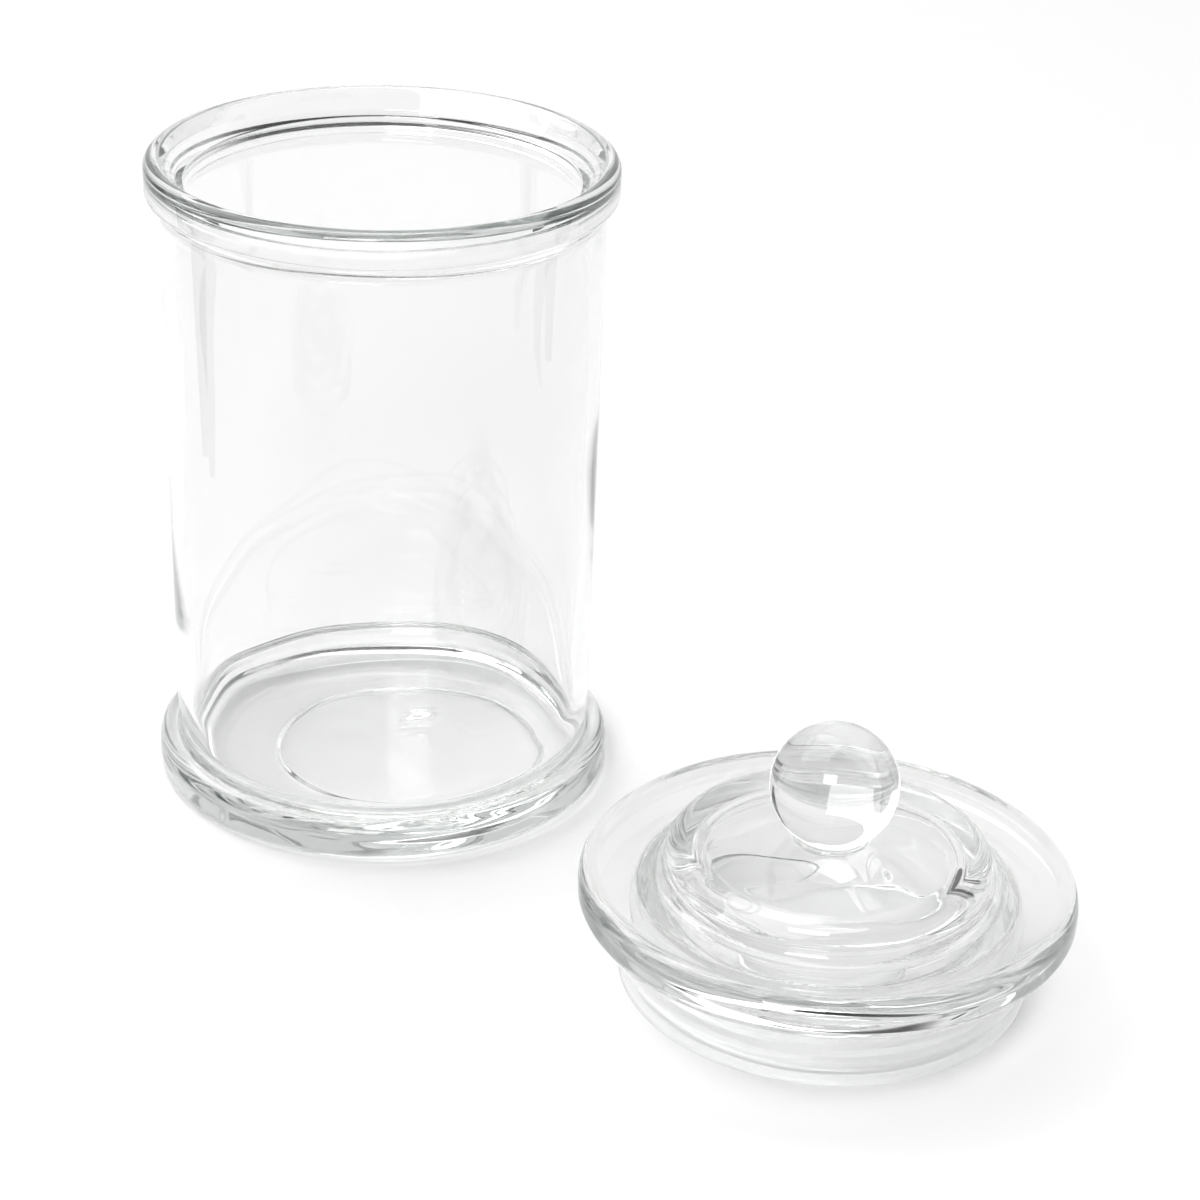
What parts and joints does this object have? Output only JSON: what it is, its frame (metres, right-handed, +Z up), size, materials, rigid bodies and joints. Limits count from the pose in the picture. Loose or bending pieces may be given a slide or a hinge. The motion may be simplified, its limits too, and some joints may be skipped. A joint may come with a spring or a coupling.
{
  "type": "specimen jar",
  "caption": "Open straight-sided glass display jar with a thick collar and foot, and a loose flanged glass lid with a ball knob and a ribbed soft seal.",
  "frame": {"origin": "on the jar's axis, at the level of the table that the foot stands on", "axes": "+Z up along the jar's axis, +X from the jar's axis to the axis of the lid that stands beside it, +Y completes the right-handed set"},
  "size_m": [0.2296, 0.1014, 0.1423],
  "materials": {
    "jar_glass": "clear pressed glass, faintly green where thick",
    "lid_glass": "clear pressed glass, faintly green where thick",
    "seal_silicone": "soft translucent silicone, satin"
  },
  "bodies": {
    "jar": {"jar": "jar_glass"},
    "lid": {"lid": "lid_glass", "lid_seal": "seal_silicone"}
  },
  "joints": [
    {"name": "lid_lift", "type": "slide", "parent": "jar", "child": "lid", "axis": [0, 0, 1], "range_m": [0, 0.16]}
  ]
}
